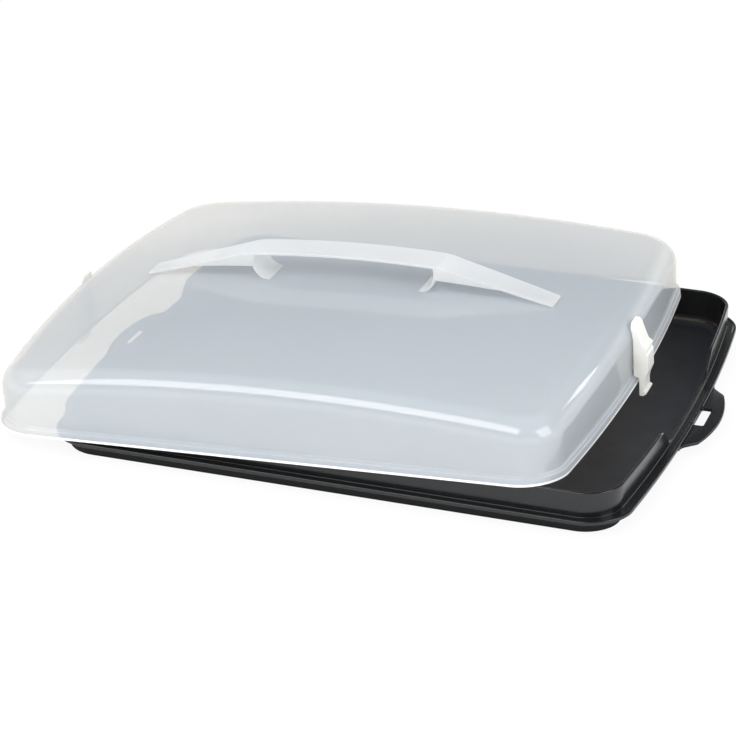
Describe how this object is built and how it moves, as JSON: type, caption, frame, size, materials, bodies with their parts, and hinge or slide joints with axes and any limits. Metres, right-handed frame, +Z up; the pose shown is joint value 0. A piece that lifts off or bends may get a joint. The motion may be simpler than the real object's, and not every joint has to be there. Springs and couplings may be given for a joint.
{
  "type": "cake carrier",
  "caption": "Rectangular cake carrier: dark tray, loose translucent lid with a carrying strap, and snap latches that hook under slotted tabs.",
  "frame": {"origin": "centre of the tray's flat underside, on the surface it stands on", "axes": "+X along the length towards the uncovered end of the tray, +Y across it, +Z up"},
  "size_m": [0.484, 0.366, 0.1011],
  "materials": {
    "tray": "satin charcoal polypropylene",
    "lid": "translucent natural polypropylene, glossy outside",
    "handle": "glossy white polypropylene",
    "latch": "glossy white polypropylene"
  },
  "bodies": {
    "tray": {"tray": "tray"},
    "lid": {"lid": "lid", "handle": "handle"},
    "latch_left": {"latch_left": "latch"},
    "latch_right": {"latch_right": "latch"}
  },
  "joints": [
    {"name": "lid_lift", "type": "slide", "parent": "tray", "child": "lid", "axis": [0, 0, 1], "range_m": [0, 0.15]},
    {"name": "latch_left_turn", "type": "hinge", "parent": "lid", "child": "latch_left", "pos_m": [-0.25348, 0, 0.02489], "axis": [0, -1, 0], "range_deg": [-1, 6]},
    {"name": "latch_right_turn", "type": "hinge", "parent": "lid", "child": "latch_right", "pos_m": [0.16774, 0, 0.04714], "axis": [0, 1, 0], "range_deg": [-1, 6]}
  ]
}
